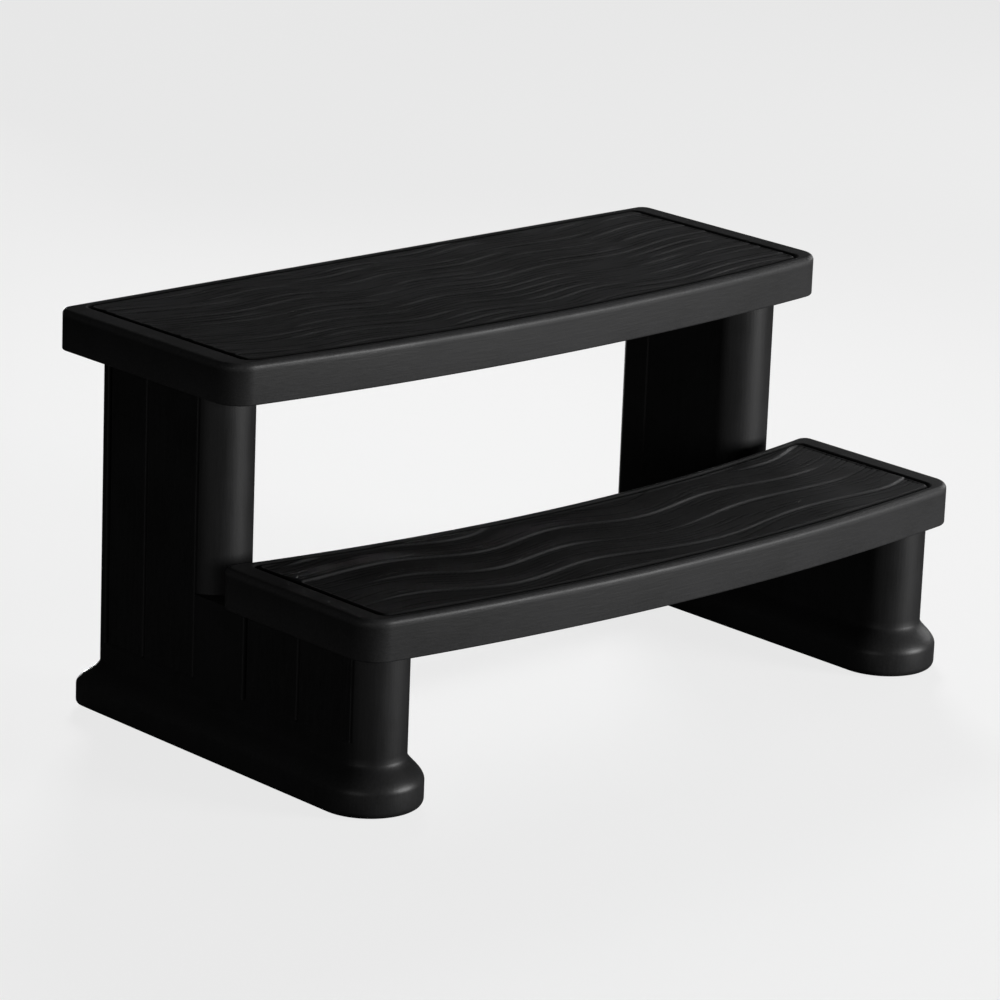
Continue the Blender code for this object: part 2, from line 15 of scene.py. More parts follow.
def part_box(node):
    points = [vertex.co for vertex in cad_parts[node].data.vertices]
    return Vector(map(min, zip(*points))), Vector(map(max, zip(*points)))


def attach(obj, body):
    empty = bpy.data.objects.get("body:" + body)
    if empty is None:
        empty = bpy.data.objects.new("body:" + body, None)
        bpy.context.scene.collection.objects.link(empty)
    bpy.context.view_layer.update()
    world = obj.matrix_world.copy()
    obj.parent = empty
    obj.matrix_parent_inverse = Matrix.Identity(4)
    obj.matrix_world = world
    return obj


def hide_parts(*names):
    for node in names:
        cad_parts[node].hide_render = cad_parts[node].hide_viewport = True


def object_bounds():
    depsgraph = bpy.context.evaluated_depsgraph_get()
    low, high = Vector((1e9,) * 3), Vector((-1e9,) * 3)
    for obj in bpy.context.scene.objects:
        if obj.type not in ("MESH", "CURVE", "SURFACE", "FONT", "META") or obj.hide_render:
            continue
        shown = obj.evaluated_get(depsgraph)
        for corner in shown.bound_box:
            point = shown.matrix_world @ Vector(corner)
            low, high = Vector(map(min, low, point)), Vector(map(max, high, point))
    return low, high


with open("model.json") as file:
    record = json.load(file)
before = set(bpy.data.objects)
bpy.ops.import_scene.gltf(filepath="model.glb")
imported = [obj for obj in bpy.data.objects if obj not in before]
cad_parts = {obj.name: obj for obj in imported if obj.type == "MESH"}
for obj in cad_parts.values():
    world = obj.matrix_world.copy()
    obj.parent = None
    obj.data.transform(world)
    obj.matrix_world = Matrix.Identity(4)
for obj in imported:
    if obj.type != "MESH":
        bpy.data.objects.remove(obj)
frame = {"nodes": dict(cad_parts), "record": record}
CAD_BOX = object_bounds()

# All mouldings: edges sharper than SHARP_ANGLE stay sharp, and joined shapes sink OVERLAP into each other
SHARP_ANGLE = math.radians(48)
OVERLAP = 0.0004
WELD_REACH = 1e-6
ROUND_STEPS = 24

# Treads; a bow is measured at BOW_SHARE of the way to a tread's end
BOW_SHARE = 0.8
FRONT_CORNER = 0.024
REAR_CORNER = 0.013
CORNER_STEPS = 11
TOP_EDGE = 0.005
TOP_EDGE_STEPS = 7
TOP_WEAR_DROP = TOP_EDGE * 1.6
LOWER_EDGE = 0.0018
LOWER_EDGE_STEPS = 3
LOWER_EDGE_WEAR = 0.6
INNER_EDGE_WEAR = 0.2
SKIRT = 0.0045
DECK = 0.005

# Spacing of the vertices on a tread's top: across its width, then from front to rear
COLUMN_STEP = 0.0046
END_ZONE = 0.033
END_ZONE_START = 0.017
END_ZONE_STEP = 0.0007
ROW_STEP = 0.0008
EDGE_ZONE = 0.008
EDGE_ZONE_STEP = 0.0006

# Border groove round the grained field of a tread
BORDER_END = 0.0255
BORDER_FRONT = 0.0125
BORDER_REAR = 0.0115
BORDER_CORNER = 0.009
BORDER_REACH = 0.0040
BORDER_DEPTH = 0.0026
GRAIN_START = BORDER_REACH * 0.6
GRAIN_FADE = 0.004

# Noise that bends the woodgrain: strength, waves per metre along the tread and across it, seed
SWING = (2.4, 2.3, 6, 0)
DRIFT = (0.9, 4.1, 11, 5)
RIDGE_SHIFT = (0.22, 3.3, 17, 9)
LINE_SHIFT = (0.5, 6, 30, 13)

# Ridges of the woodgrain; RIDGE_SINK is the share of their height below the tread's plane
RIDGE_SINK = 0.6
RIDGE_BREAK_FADE = 0.3
RIDGE_STRIDE = 7.31
CREST_PLACE = 0.8
FOOT_REACH = 0.8

# Fine broken grooves between the ridges
LINE_PITCH = 0.0066
LINE_DEPTH = 0.00042
LINE_HALF = 0.2
LINE_FLOW = 1.1
LINE_BREAK_RATE = 15
LINE_BREAK_FADE = 0.25
LINE_KEEP = 0.12
LINE_STRIDE = 3.7
LINE_SHADE = 0.7

# Ribs, wells and screw bosses under a tread
RIB = 0.003
RIB_LIFT = 0.004
RIB_BAYS = 6
RIB_ROWS = {"upper_tread": 4, "lower_tread": 3}
RIB_BOW_STEPS = 36
WELL_X = 0.268
BOSS_DROP = 0.0287
BOSS_RADIUS = 0.0065
BOSS_HOLE = 0.0026
BOSS_HOLE_DEPTH = 0.016

# Side panels; the lower tread's rear edge is found TREAD_EDGE_LIFT above the panel's low section,
# at TREAD_END_SHARE of the panel's reach from the middle
PANEL_HALF = 0.035
PANEL_CORNER = 0.010
PANEL_CORNER_STEPS = 8
COLUMN_STEPS = 36
GAP = 0.0003
SPIGOT_INSET = 0.005
SPIGOT_BEHIND_TREAD = 0.0205
TREAD_END_SHARE = 0.96
TREAD_EDGE_LIFT = 0.02
LEDGE_DROP = 0.034
LEDGE_THICKNESS = 0.005
LEDGE_WIDTH = 0.036
LEDGE_EDGE = 0.0009
LEDGE_SINK = 0.001
LEDGE_PAST_SCREW = 0.012

# Flared base of a panel, from the floor up
FLARE = 0.016
TOE_ROLL = 0.0045
TOE_TOP = 0.008
TOE_STEPS = 5
WALL_TOP = 0.024
SHOULDER_TOP = 0.048
SHOULDER_POWER = 0.85
SHOULDER_STEPS = 14
BASE_WEAR = 0.5
BASE_LIP = 0.005
BASE_HOLLOW = 0.016

# Planked fields of a panel's outer face, and the plainer fields of its inner face
FIELD_BOTTOM = 0.066
FIELD_DEPTH = 0.002
FIELD_EDGE = 0.0009
FIELD_BEFORE_COLUMN = 0.0125
SILL_RISE = 0.0026
REAR_BAND = 0.0145
PLANKS_BETWEEN_COLUMNS = 3
JOINT_HALF = 0.0021
JOINT_DEPTH = 0.0026
JOINT_WEAR = 0.2
INNER_DEPTH = 0.0015
INNER_REAR_BAND = 0.0385
INNER_TOP_DROP = 0.012
INNER_RISE = 0.012

# Grain of the planks: its depth, then strength, waves per metre along y and z, and seed of its noise
PLANK_GRAIN = 0.00028
PLANK_WAVES = ((1.0, 260, 7, 3.0), (0.6, 520, 16, 9.0))

# Spacing of the vertices round a panel, then up it
COLUMN_ZONE = 0.018
COLUMN_ZONE_STEP = 0.0005
SIDE_STEP = 0.0016
INNER_SIDE_STEP = 0.004
JOINT_ZONE = 0.003
JOINT_ZONE_STEP = 0.0005
SIDE_CLOSEST = 1e-4
RISE_STEP = 0.008
SILL_STEP = 0.0006
INNER_TOP_STEP = 0.0009
SILL_MARGIN = 0.0005
RISE_CLOSEST = 1e-5

# Plastics: fibres has their waves per metre along each axis
PLASTICS = {
    "tread_plastic": {
        "tone": 0.0135,
        "roughness": 0.60,
        "specular": 0.27,
        "fibres": (28.0, 520.0, 520.0),
        "fibre_depth": 0.00022,
    },
    "panel_plastic": {
        "tone": 0.0098,
        "roughness": 0.49,
        "specular": 0.29,
        "fibres": (420.0, 420.0, 24.0),
        "fibre_depth": 0.00016,
    },
    "brace_plastic": {
        "tone": 0.0110,
        "roughness": 0.64,
        "specular": 0.25,
        "fibres": (20.0, 380.0, 380.0),
        "fibre_depth": 0.00012,
    },
}
CLOUD_SCALE = 14.0
SPECK_SCALE = 420.0
PEBBLE_SCALE = 1500.0
PEBBLE_DEPTH = 0.00012
FIBRE_TONE = 1.7
# Paler tone of worn edges and of the woodgrain crests, which is partly a painted highlight
WEAR_AND_HIGHLIGHT_TONE = 2.9
# Painted shade in grooves and joints: its darker tone and lower specular
SHADED_TONE = 0.15
SHADED_SPECULAR = 0.02

# Studio: the floor and the backdrop look pale to the camera and light the object only a little
FLOOR_HALF = 14.0
FLOOR_GLOW = 0.79
FLOOR_TONE = 0.11
FLOOR_BOUNCE = 0.035
BACKDROP_TONE = 0.80
AMBIENT = 0.018

# Lights: name, azimuth, elevation, distance, width and height, fan in degrees, watts, glints
LIGHTS = (
    ("key_light", 31, 9, 3.4, (1.2, 0.8), 180, 124, True),
    ("left_light", -62, 4, 3.0, (1.2, 0.5), 60, 0.9, True),
    ("top_light", 140, 30, 3.4, (0.8, 0.8), 60, 14, False),
    ("back_light", 161, 0, 3.0, (0.5, 0.3), 40, 2.5, True),
    ("right_light", 98, 14, 3.4, (1.6, 0.9), 180, 22, True),
)

# Camera: it aims at CAMERA_AIM from the middle of the object
CAMERA_AZIMUTH = -42.94
CAMERA_ELEVATION = 16.5
CAMERA_ROLL = 2.23
CAMERA_DISTANCE = 4.667
CAMERA_LENS = 175.1
CAMERA_SENSOR = 36.0
CAMERA_AIM = Vector((-0.0182, 0.0150, -0.0046))


def smooth(value):
    """Smooth step from 0 to 1, held flat outside."""
    value = min(max(value, 0.0), 1.0)
    return value * value * (3 - 2 * value)


def waver(*place):
    """Coherent noise between about -1 and 1."""
    return noise.noise(Vector(place))


def spread(start, end, step):
    """Evenly spaced values from start to end, both included, no more than a step apart."""
    count = max(1, math.ceil(abs(end - start) / step))
    return [start + (end - start) * index / count for index in range(count + 1)]


def surface_y(node, x, z, side):
    """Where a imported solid's front (side -1) or rear (side 1) surface lies."""
    bpy.context.view_layer.update()
    start = Vector((x, side, z))
    hit, place, _, _ = frame["nodes"][node].ray_cast(start, Vector((0, -side, 0)))
    if not hit:
        raise RuntimeError(f"{node} has no surface at x {x}, z {z}")
    return place.y


def new_piece(name, model, material, node):
    """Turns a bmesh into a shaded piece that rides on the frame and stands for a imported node."""
    bmesh.ops.recalc_face_normals(model, faces=model.faces)
    mesh = bpy.data.meshes.new(name)
    model.to_mesh(mesh)
    model.free()
    mesh.materials.append(material)
    mesh.shade_smooth()
    mesh.set_sharp_from_angle(angle=SHARP_ANGLE)
    piece = bpy.data.objects.new(name, mesh)
    bpy.context.scene.collection.objects.link(piece)
    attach(piece, "root")
    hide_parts(node)


def join_loops(model, lower, upper):
    """Quads between two closed loops of the same length."""
    for index in range(len(lower)):
        after = (index + 1) % len(lower)
        model.faces.new((lower[index], lower[after], upper[after], upper[index]))


def add_block(model, low, high, edge):
    """A box with rounded edges."""
    middle = (Vector(low) + Vector(high)) / 2
    size = Vector(high) - Vector(low)
    place = Matrix.Translation(middle) @ Matrix.Diagonal((*size, 1.0))
    made = bmesh.ops.create_cube(model, size=1.0, matrix=place)
    edges = list({item for vert in made["verts"] for item in vert.link_edges})
    bmesh.ops.bevel(model, geom=edges, offset=edge, segments=2, profile=0.5, affect="EDGES")


def add_lathe(model, centre, profile):
    """A solid turned about an upright axis from a closed profile of (radius, height)."""
    loops = []
    for step in range(ROUND_STEPS):
        angle = 2 * math.pi * step / ROUND_STEPS
        across = Vector((math.cos(angle), math.sin(angle), 0))
        places = [Vector(centre) + across * wide + Vector((0, 0, up)) for wide, up in profile]
        loops.append([model.verts.new(place) for place in places])
    for index, loop in enumerate(loops):
        join_loops(model, loop, loops[(index + 1) % ROUND_STEPS])


@dataclass
class GrainStyle:
    """Sizes of the embossed woodgrain: long terraced ridges with fine lines between them.

    Each ridge takes pitch from front to rear, of which rise is its steep front. It swings by wave
    over wave_length. A higher break_rate breaks ridges up more often, and a higher keep less.
    """

    pitch: float
    rise: float
    height: float
    wave: float
    wave_length: float
    break_rate: float
    keep: float
    seed: float

    def wander(self, kind, x, across):
        """Noise of one of the kinds above at this place."""
        strength, along, over, seed = kind
        return strength * waver(x * along, across * over, self.seed + seed)

    def flow(self, x, across):
        """How far the grain lines wander to the rear at this place."""
        turn = 2 * math.pi * x / self.wave_length
        swing = self.wander(SWING, x, across)
        return self.wave * (math.sin(turn + swing) + self.wander(DRIFT, x, across))

    def ridges(self, x, across, flow):
        """Steep rises that face the front, each with a long fall behind it.

        Returns the height, a narrow band on the crest and one at the foot, each from 0 to 1.
        """
        phase = (across + flow) / self.pitch
        phase += self.wander(RIDGE_SHIFT, x, across)
        number = math.floor(phase)
        along = phase - number
        share = self.rise / self.pitch
        if along < share:
            height = smooth(along / share)
        else:
            height = 1 - smooth((along - share) / (1 - share))
        gate = waver(x * self.break_rate, number * RIDGE_STRIDE, self.seed + 2)
        kept = smooth((gate + self.keep) / RIDGE_BREAK_FADE)
        # The crest band is painted paler: partly wear, partly a painted highlight on the steep rise
        crest = max(0.0, 1 - abs(along - CREST_PLACE * share) / share)
        # The band at the foot of each rise gets painted shade
        foot = max(0.0, 1 - min(along, 1 - along) / (FOOT_REACH * share))
        return height * kept, crest * kept, foot * kept

    def lines(self, x, across, flow):
        """Fine broken grooves between the ridges, from 0 to 1."""
        phase = (across + flow * LINE_FLOW) / LINE_PITCH
        phase += self.wander(LINE_SHIFT, x, across)
        number = math.floor(phase)
        away = abs(phase - number - 0.5)
        gate = waver(x * LINE_BREAK_RATE, number * LINE_STRIDE, self.seed + 21)
        return max(0.0, 1 - away / LINE_HALF) * smooth((gate + LINE_KEEP) / LINE_BREAK_FADE)

    def relief(self, x, across):
        """Height above the tread's plane, how much paler the place is painted and how much painted shade
        it gets; the paler crest band is partly wear and partly a painted highlight.
        """
        flow = self.flow(x, across)
        height, crest, foot = self.ridges(x, across, flow)
        line = self.lines(x, across, flow)
        # Painted shade in the fine grooves and at the foot of each rise, none on the crest
        shade = max(LINE_SHADE * line, foot) * (1 - crest)
        return self.height * (height - RIDGE_SINK) - LINE_DEPTH * line, crest, shade


GRAIN = {
    "upper_tread": GrainStyle(
        pitch=0.0155,
        rise=0.0020,
        height=0.00120,
        wave=0.0050,
        wave_length=0.17,
        break_rate=8.5,
        keep=0.16,
        seed=3.0,
    ),
    "lower_tread": GrainStyle(
        pitch=0.0460,
        rise=0.0024,
        height=0.00180,
        wave=0.0095,
        wave_length=0.23,
        break_rate=3.6,
        keep=0.28,
        seed=40.0,
    ),
}


class TreadShape:
    """One tread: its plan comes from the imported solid, whose edges are parabolas in plan."""

    def __init__(self, node):
        self.node = node
        self.low, self.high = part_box(node)
        self.half = self.high.x
        self.front_mid, self.front_bow = self.fit(-1)
        self.rear_mid, self.rear_bow = self.fit(1)
        self.grain = GRAIN[node]

    def fit(self, side):
        """Middle and bow of the edge on one side, from two places on it."""
        z = (self.low.z + self.high.z) / 2
        middle = surface_y(self.node, 0.0, z, side)
        away = surface_y(self.node, self.half * BOW_SHARE, z, side)
        return middle, (away - middle) / BOW_SHARE**2

    def front(self, x):
        return self.front_mid + self.front_bow * (x / self.half) ** 2

    def rear(self, x):
        return self.rear_mid + self.rear_bow * (x / self.half) ** 2

    def columns(self):
        """Places across the width: x on the top's rim, and the sine of its turn in the corner."""
        reach = FRONT_CORNER - TOP_EDGE
        corner_x = self.half - FRONT_CORNER
        xs = spread(0.0, self.half - END_ZONE, COLUMN_STEP)
        xs += spread(self.half - END_ZONE, self.half - END_ZONE_START, END_ZONE_STEP)[1:]
        start = math.asin((self.half - END_ZONE_START - corner_x) / reach)
        turns = spread(start, math.pi / 2, (math.pi / 2 - start) / CORNER_STEPS)[1:]
        xs += [corner_x + reach * math.sin(turn) for turn in turns]
        positive = [(x, max(0.0, (x - corner_x) / reach)) for x in xs]
        negative = [(-x, -turn) for x, turn in positive[:0:-1]]
        return negative + positive

    def rows(self):
        """Shares of the way from the front rim to the rear rim, closer together near both."""
        depth = self.rear_mid - self.front_mid - 2 * TOP_EDGE
        near = spread(0.0, EDGE_ZONE, EDGE_ZONE_STEP)
        middle = spread(EDGE_ZONE, depth - EDGE_ZONE, ROW_STEP)[1:]
        far = spread(depth - EDGE_ZONE, depth, EDGE_ZONE_STEP)[1:]
        return [distance / depth for distance in near + middle + far]

    def hang(self, x, radius, inset):
        """How far the inset outline lies inside the plain edge, with its corner rounded."""
        across = abs(x) - (self.half - radius)
        if across <= 0:
            return inset
        return radius - math.sqrt(max(0.0, (radius - inset) ** 2 - across**2))

    def place(self, column, row, inset):
        """A plan point; the inset runs in from the outline."""
        x, turn = column
        if turn:
            x = math.copysign(self.half - FRONT_CORNER, x) + (FRONT_CORNER - inset) * turn
        front = self.front(x) + self.hang(x, FRONT_CORNER, inset)
        rear = self.rear(x) - self.hang(x, REAR_CORNER, inset)
        return x, front + (rear - front) * row

    def border_distance(self, x, y):
        """Distance inside the border groove's centre line, negative outside it."""
        sides = sorted(
            (
                self.half - BORDER_END - abs(x),
                y - self.front(x) - BORDER_FRONT,
                self.rear(x) - BORDER_REAR - y,
            )
        )
        nearest, second = sides[0], sides[1]
        if second < BORDER_CORNER:
            return BORDER_CORNER - math.hypot(BORDER_CORNER - nearest, BORDER_CORNER - second)
        return nearest

    def relief(self, x, y):
        """Height of the embossed top above its plane, how much paler it is painted (partly wear, partly a
        painted highlight on the crests) and how much painted shade it gets.
        """
        distance = self.border_distance(x, y)
        # The border groove is darkened with painted shade
        groove = max(0.0, 1 - (distance / BORDER_REACH) ** 2) ** 2
        if distance <= 0:
            return -BORDER_DEPTH * groove, 0.0, groove
        fade = smooth((distance - GRAIN_START) / GRAIN_FADE)
        lift, paling, shade = self.grain.relief(x, y - self.front(x))
        height = lift * fade - BORDER_DEPTH * groove
        return height, paling * fade, max(groove, shade * fade)


def edge_profile(shape):
    """Inset, height and wear from the top's rim round the edge, down the skirt and up inside it."""
    top = shape.high.z
    base = shape.low.z
    profile = []
    for step in range(1, TOP_EDGE_STEPS + 1):
        turn = math.pi / 2 * step / TOP_EDGE_STEPS
        profile.append((TOP_EDGE * (1 - math.sin(turn)), top - TOP_EDGE * (1 - math.cos(turn)), 1.0))
    profile.append((0.0, top - TOP_WEAR_DROP, 0.0))
    for step in range(LOWER_EDGE_STEPS + 1):
        turn = math.pi / 2 * step / LOWER_EDGE_STEPS
        drop = base + LOWER_EDGE * (1 - math.sin(turn))
        profile.append((LOWER_EDGE * (1 - math.cos(turn)), drop, LOWER_EDGE_WEAR))
    profile.append((SKIRT - LOWER_EDGE / 2, base, INNER_EDGE_WEAR))
    profile.append((SKIRT, base + LOWER_EDGE / 2, 0.0))
    profile.append((SKIRT, top - DECK, 0.0))
    return profile


def rim_places(columns, rows):
    """The column and row of each rim vertex, anticlockwise from the front left corner."""
    last_column = len(columns) - 1
    last_row = len(rows) - 1
    places = [(column, 0) for column in range(last_column)]
    places += [(last_column, row) for row in range(last_row)]
    places += [(column, last_row) for column in range(last_column, 0, -1)]
    places += [(0, row) for row in range(last_row, 0, -1)]
    return places


def add_underside(model, rim, loop, columns, rows):
    """Closes the loop under the deck with one strip for each column and a face at each end."""
    verts = dict(zip(rim, loop))
    last_column = len(columns) - 1
    last_row = len(rows) - 1
    for column in range(1, last_column - 1):
        pair = [verts[column, 0], verts[column + 1, 0]]
        model.faces.new(pair + [verts[column + 1, last_row], verts[column, last_row]])
    for end, beside in ((0, 1), (last_column, last_column - 1)):
        edge = [verts[end, row] for row in range(last_row + 1)]
        model.faces.new(edge + [verts[beside, last_row], verts[beside, 0]])


def add_strip(model, places, top, base):
    """A rib RIB thick along a plan line, closed all round."""
    loops = []
    for index, (x, y) in enumerate(places):
        before = Vector(places[max(0, index - 1)])
        after = Vector(places[min(len(places) - 1, index + 1)])
        along = (after - before).normalized() * RIB / 2
        corners = []
        for side, z in ((1, base), (-1, base), (-1, top), (1, top)):
            corners.append(model.verts.new((x - side * along.y, y + side * along.x, z)))
        loops.append(corners)
    for first, second in zip(loops, loops[1:]):
        join_loops(model, first, second)
    model.faces.new(loops[0])
    model.faces.new(loops[-1])


def add_ribs(model, shape):
    """The grid of ribs between the wells, and the wells' inner walls."""
    top = shape.high.z - DECK + OVERLAP
    base = shape.low.z + RIB_LIFT
    rows = RIB_ROWS[shape.node]
    reach = WELL_X - RIB / 2
    inner = SKIRT - OVERLAP
    for bay in range(RIB_BAYS + 1):
        x = -reach + 2 * reach * bay / RIB_BAYS
        ends = [(x, shape.front(x) + inner), (x, shape.rear(x) - inner)]
        add_strip(model, ends, top, base)
    for row in range(1, rows):
        share = row / rows
        places = []
        for step in range(RIB_BOW_STEPS + 1):
            x = -reach + 2 * reach * step / RIB_BOW_STEPS
            places.append((x, shape.front(x) * (1 - share) + shape.rear(x) * share))
        add_strip(model, places, top, base)


def screw_places(node):
    """Plan places of the upright screws under one tread."""
    stem = node.replace("tread", "tread_screw")
    places = []
    for name in frame["nodes"]:
        if name.startswith(stem):
            low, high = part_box(name)
            places.append(((low.x + high.x) / 2, (low.y + high.y) / 2))
    return places


def add_bosses(model, shape):
    """A round boss with a blind hole over each upright screw."""
    base = shape.high.z - BOSS_DROP
    top = shape.high.z - DECK + OVERLAP
    hole_top = base + BOSS_HOLE_DEPTH
    for x, y in screw_places(shape.node):
        profile = (
            (0.0, top),
            (BOSS_RADIUS, top),
            (BOSS_RADIUS, base),
            (BOSS_HOLE, base),
            (BOSS_HOLE, hole_top),
            (0.0, hole_top),
        )
        add_lathe(model, (x, y, 0.0), profile)


def make_tread(shape, material):
    """One tread: its embossed top, rounded edge, skirt, ribs and bosses."""
    columns = shape.columns()
    rows = shape.rows()
    model = bmesh.new()
    wear_and_highlight = model.verts.layers.float.new("wear_and_highlight")
    shade = model.verts.layers.float.new("shade")
    grid = []
    for column in columns:
        line = []
        for row in rows:
            x, y = shape.place(column, row, TOP_EDGE)
            height, paling, shaded = shape.relief(x, y)
            vert = model.verts.new((x, y, shape.high.z + height))
            vert[wear_and_highlight] = paling
            vert[shade] = shaded
            line.append(vert)
        grid.append(line)
    for left, right in zip(grid, grid[1:]):
        for row in range(len(rows) - 1):
            model.faces.new((left[row], right[row], right[row + 1], left[row + 1]))
    rim = rim_places(columns, rows)
    loop = [grid[column][row] for column, row in rim]
    for inset, z, paling in edge_profile(shape):
        ring = []
        for column, row in rim:
            vert = model.verts.new((*shape.place(columns[column], rows[row], inset), z))
            vert[wear_and_highlight] = paling
            ring.append(vert)
        join_loops(model, loop, ring)
        loop = ring
    add_underside(model, rim, loop, columns, rows)
    add_ribs(model, shape)
    add_bosses(model, shape)
    bmesh.ops.remove_doubles(model, verts=model.verts, dist=WELD_REACH)
    spare = [edge for edge in model.edges if not edge.link_faces]
    bmesh.ops.delete(model, geom=spare, context="EDGES")
    new_piece(f"{shape.node}_moulding", model, material, shape.node)


class PanelShape:
    """The right side panel about its own middle; the left one is its mirror image."""

    def __init__(self, node):
        self.node = node
        low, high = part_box(node)
        self.side = 1 if high.x > 0 else -1
        reach = max(abs(low.x), abs(high.x))
        self.middle_x = reach - PANEL_HALF - FLARE
        self.low_y = low.y + FLARE + PANEL_HALF
        self.rear = high.y - FLARE
        self.bottom = low.z
        self.low_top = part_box("lower_tread")[0].z - GAP
        self.tall_top = high.z
        tall_z = (self.low_top + self.tall_top) / 2
        front = surface_y(node, self.side * self.middle_x, tall_z, -1)
        self.tall_y = front + PANEL_HALF
        tread_x = self.side * reach * TREAD_END_SHARE
        tread_rear = surface_y("lower_tread", tread_x, self.low_top + TREAD_EDGE_LIFT, 1)
        self.spigot_rear = tread_rear - SPIGOT_BEHIND_TREAD
        pitch = (self.tall_y - self.low_y) / PLANKS_BETWEEN_COLUMNS
        first = self.low_y - FIELD_BEFORE_COLUMN
        last = self.tall_y - FIELD_BEFORE_COLUMN
        self.outer_fields = ((first, last - pitch), (last, self.rear - REAR_BAND))
        self.inner_fields = ((first, last - pitch), (last, self.rear - INNER_REAR_BAND))
        upper_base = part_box("upper_tread")[0].z
        self.inner_tops = (self.low_top - INNER_TOP_DROP, upper_base - INNER_TOP_DROP)
        self.joints = []
        for start, end in self.outer_fields:
            self.joints += [start, end]
            joint = start + pitch
            while joint < end - JOINT_HALF:
                self.joints.append(joint)
                joint += pitch

    def outer_relief(self, y, z):
        """Depth of the outer face below its plane, with how worn and how shaded it is."""
        field = 0.0
        for start, end in self.outer_fields:
            inside = min(y - start, end - y)
            field = max(field, smooth(inside / FIELD_EDGE + 0.5))
        away = min(abs(y - joint) for joint in self.joints)
        # The plank joints are darkened with painted shade
        groove = smooth(1 - away / JOINT_HALF)
        sill = smooth((z - FIELD_BOTTOM) / SILL_RISE)
        grain = sum(strength * waver(y * along, z * up, seed) for strength, along, up, seed in PLANK_WAVES)
        depth = FIELD_DEPTH * field + JOINT_DEPTH * groove + PLANK_GRAIN * grain * field
        paling = smooth(1 - abs(away - JOINT_HALF) / JOINT_HALF) * field
        return depth * sill, paling * sill * JOINT_WEAR, groove * sill

    def inner_relief(self, y, z):
        """Depth of the inner face below its plane."""
        depth = 0.0
        for (start, end), top in zip(self.inner_fields, self.inner_tops):
            inside = min(y - start, end - y)
            beside = smooth(inside / FIELD_EDGE + 0.5)
            rise = smooth((z - FIELD_BOTTOM) / INNER_RISE)
            fall = smooth((top - z) / INNER_RISE)
            depth = max(depth, beside * rise * fall)
        return INNER_DEPTH * depth

    def side_ys(self, fields, joints, step):
        """Places along a flat side, closer together at each edge and joint."""
        stops = {self.low_y, self.tall_y, self.rear - PANEL_CORNER}
        for centre in joints + [y for field in fields for y in field]:
            stops.update(spread(centre - JOINT_ZONE, centre + JOINT_ZONE, JOINT_ZONE_STEP))
        stops = sorted(stop for stop in stops if stop >= self.low_y)
        ys = [stops[0]]
        for stop in stops[1:]:
            if stop - ys[-1] > SIDE_CLOSEST:
                ys += spread(ys[-1], stop, step)[1:]
        return ys

    def column_arc(self, column_y, inner_stop, outer_stop):
        """Samples round the half-round front of a column, from its inner side to its outer one."""
        fine = column_y - COLUMN_ZONE
        turns = spread(
            math.asin((column_y - inner_stop) / PANEL_HALF) - math.pi,
            -math.asin((column_y - fine) / PANEL_HALF),
            math.pi / COLUMN_STEPS,
        )[1:]
        for y in spread(fine, outer_stop, COLUMN_ZONE_STEP)[1:-1]:
            turns.append(-math.asin((column_y - y) / PANEL_HALF))
        samples = []
        for turn in turns:
            across = Vector((math.cos(turn), math.sin(turn)))
            spot = (PANEL_HALF * across.x, column_y + PANEL_HALF * across.y)
            samples.append((*spot, *across, "outer" if across.x > 0 else "inner"))
        return samples

    def samples(self):
        """The outline as (x, y, x share of an offset, y share of an offset, face)."""
        half = PANEL_HALF
        corner_x = half - PANEL_CORNER
        corner_y = self.rear - PANEL_CORNER
        samples = self.column_arc(self.low_y, self.low_y, self.low_y)
        for y in self.side_ys(self.outer_fields, self.joints, SIDE_STEP):
            samples.append((half, y, 1, 0, "outer"))
        corner = []
        for step in range(1, PANEL_CORNER_STEPS + 1):
            turn = math.pi / 2 * step / PANEL_CORNER_STEPS
            x = corner_x + PANEL_CORNER * math.cos(turn)
            corner.append((x, corner_y + PANEL_CORNER * math.sin(turn)))
        samples += [(x, y, 1, 1, "rear") for x, y in corner]
        samples += [(-x, y, -1, 1, "rear") for x, y in reversed(corner)]
        for y in reversed(self.side_ys(self.inner_fields, [], INNER_SIDE_STEP)):
            samples.append((-half, y, -1, 0, "inner"))
        return samples

    def column_half(self, y):
        """Half the width of the tall section at this y, before its fields are sunk."""
        ahead = min(max(self.tall_y - y, 0.0), PANEL_HALF)
        return math.sqrt(PANEL_HALF**2 - ahead**2)

    def shared_side(self, samples):
        """First and last sample of the stretch of outline that the tall section shares."""
        shared = []
        for number, (_, y, _, _, face) in enumerate(samples):
            if face == "outer":
                width = PANEL_HALF - self.outer_relief(y, self.low_top)[0]
            else:
                width = PANEL_HALF - self.inner_relief(y, self.low_top)
            if y > self.low_y and self.column_half(y) >= width:
                shared.append(number)
        return shared[0], shared[-1]

    def place(self, sample, offset, z):
        """A point of the skin in the frame, with how worn and how shaded it is."""
        x, y, shift_x, shift_y, face = sample
        paling = 0.0
        shaded = 0.0
        if face == "outer":
            depth, paling, shaded = self.outer_relief(y, z)
            x = min(x, PANEL_HALF - depth)
        elif face == "inner":
            x = max(x, self.inner_relief(y, z) - PANEL_HALF)
        if z > self.low_top:
            widest = self.column_half(y)
            x = min(max(x, -widest), widest)
        point = (self.side * (self.middle_x + x + shift_x * offset), y + shift_y * offset, z)
        return point, paling, shaded


def base_profile(bottom):
    """Offset and height up the base: rolled toe, wall, and the shoulder's double curve."""
    profile = []
    for step in range(TOE_STEPS + 1):
        turn = math.pi / 2 * step / TOE_STEPS
        offset = FLARE - TOE_ROLL * (1 - math.sin(turn))
        profile.append((offset, TOE_TOP - (TOE_TOP - bottom) * math.cos(turn)))
    profile.append((FLARE, (TOE_TOP + WALL_TOP) / 2))
    for step in range(SHOULDER_STEPS + 1):
        share = 1 - step / SHOULDER_STEPS
        z = SHOULDER_TOP - (SHOULDER_TOP - WALL_TOP) * share
        profile.append((FLARE * smooth(share**SHOULDER_POWER), z))
    return profile


